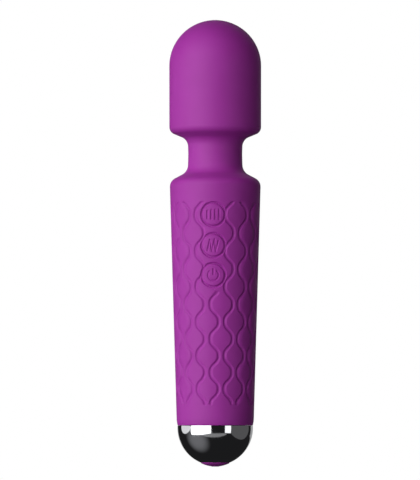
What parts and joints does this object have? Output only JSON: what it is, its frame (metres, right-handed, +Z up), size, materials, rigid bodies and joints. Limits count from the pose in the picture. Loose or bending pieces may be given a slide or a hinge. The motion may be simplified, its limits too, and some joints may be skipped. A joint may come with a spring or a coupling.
{
  "type": "handheld wand massager",
  "caption": "Cordless wand massager with a domed silicone head on a flexible neck, a tapered patterned grip with round push buttons and a chrome end cap.",
  "frame": {"origin": "lowest point of the rounded base, on the long axis", "axes": "+Z up the long axis to the head, -Y out of the face that carries the buttons"},
  "size_m": [0.0422, 0.0422, 0.205],
  "materials": {
    "purple_silicone": "satin moulded silicone",
    "chrome_plate": "mirror plated",
    "white_abs": "moulded",
    "black_abs": "moulded",
    "board_laminate": "solder-masked laminate",
    "component_black": "moulded resin",
    "light_lens": "clear resin",
    "zinc_screw": "zinc plated",
    "spring_steel": "drawn wire",
    "motor_steel": "plated pressing",
    "ferrite": "sintered",
    "bronze_bush": "sintered bronze",
    "copper_winding": "enamelled wire",
    "brass_weight": "machined",
    "battery_wrap_film": "shrink film",
    "nickel_strip": "rolled",
    "black_foam": "foam",
    "black_rubber": "moulded",
    "lead_insulation": "extruded",
    "carbon": "pressed carbon",
    "cell_core": "steel-cased wound cell"
  },
  "bodies": {
    "handle": {"battery_cell": "cell_core", "battery_leads": "lead_insulation", "battery_tabs": "nickel_strip", "battery_wrap": "battery_wrap_film", "board_screws": "zinc_screw", "charging_jack": "black_abs", "circuit_board": "board_laminate", "control_chips": "component_black", "end_cap": "chrome_plate", "foam_pad": "black_foam", "grip_sleeve": "purple_silicone", "handle_front_shell": "white_abs", "handle_rear_shell": "white_abs", "intensity_switch": "component_black", "jack_bracket": "black_abs", "jack_leads": "lead_insulation", "lower_spring_seat": "black_abs", "pattern_switch": "component_black", "port_seal": "purple_silicone", "power_switch": "component_black", "shell_screws": "zinc_screw", "status_lights": "light_lens"},
    "neck": {"neck_spring": "spring_steel", "neck_sleeve": "purple_silicone", "motor_leads": "lead_insulation"},
    "head": {"head_cover": "purple_silicone", "head_front_shell": "white_abs", "head_rear_shell": "white_abs", "head_screws": "zinc_screw", "upper_spring_seat": "black_abs", "motor_can": "motor_steel", "motor_magnets": "ferrite", "brush_holder": "black_abs", "motor_brushes": "carbon", "lower_bearing": "bronze_bush", "upper_bearing": "bronze_bush", "motor_sleeve": "black_rubber"},
    "motor_rotor": {"motor_shaft": "motor_steel", "armature_core": "motor_steel", "armature_windings": "copper_winding", "commutator": "bronze_bush", "eccentric_weight": "brass_weight"},
    "power_button": {"power_pad": "purple_silicone", "power_key": "white_abs", "power_plunger": "component_black"},
    "pattern_button": {"pattern_pad": "purple_silicone", "pattern_key": "white_abs", "pattern_plunger": "component_black"},
    "intensity_button": {"intensity_pad": "purple_silicone", "intensity_key": "white_abs", "intensity_plunger": "component_black"}
  },
  "joints": [
    {"name": "neck_nod", "type": "hinge", "parent": "handle", "child": "neck", "pos_m": [0, 0, 0.1395], "axis": [1, 0, 0], "range_deg": [-18, 18], "stiffness_Nm_per_rad": 1.6, "deforming": ["neck_spring", "neck_sleeve", "motor_leads"]},
    {"name": "neck_sway", "type": "hinge", "parent": "neck", "child": "head", "pos_m": [0, 0, 0.1472], "axis": [0, 1, 0], "range_deg": [-18, 18], "stiffness_Nm_per_rad": 1.6, "deforming": ["neck_spring", "neck_sleeve", "motor_leads"]},
    {"name": "motor_spin", "type": "hinge", "parent": "head", "child": "motor_rotor", "pos_m": [0, 0, 0.174], "axis": [0, 0, 1], "continuous": true},
    {"name": "power_press", "type": "slide", "parent": "handle", "child": "power_button", "axis": [0, 1, 0], "range_m": [0, 0.0005], "stiffness_N_per_m": 2500, "springref_m": -0.0002},
    {"name": "pattern_press", "type": "slide", "parent": "handle", "child": "pattern_button", "axis": [0, 1, 0], "range_m": [0, 0.0005], "stiffness_N_per_m": 2500, "springref_m": -0.0002},
    {"name": "intensity_press", "type": "slide", "parent": "handle", "child": "intensity_button", "axis": [0, 1, 0], "range_m": [0, 0.0005], "stiffness_N_per_m": 2500, "springref_m": -0.0002}
  ]
}
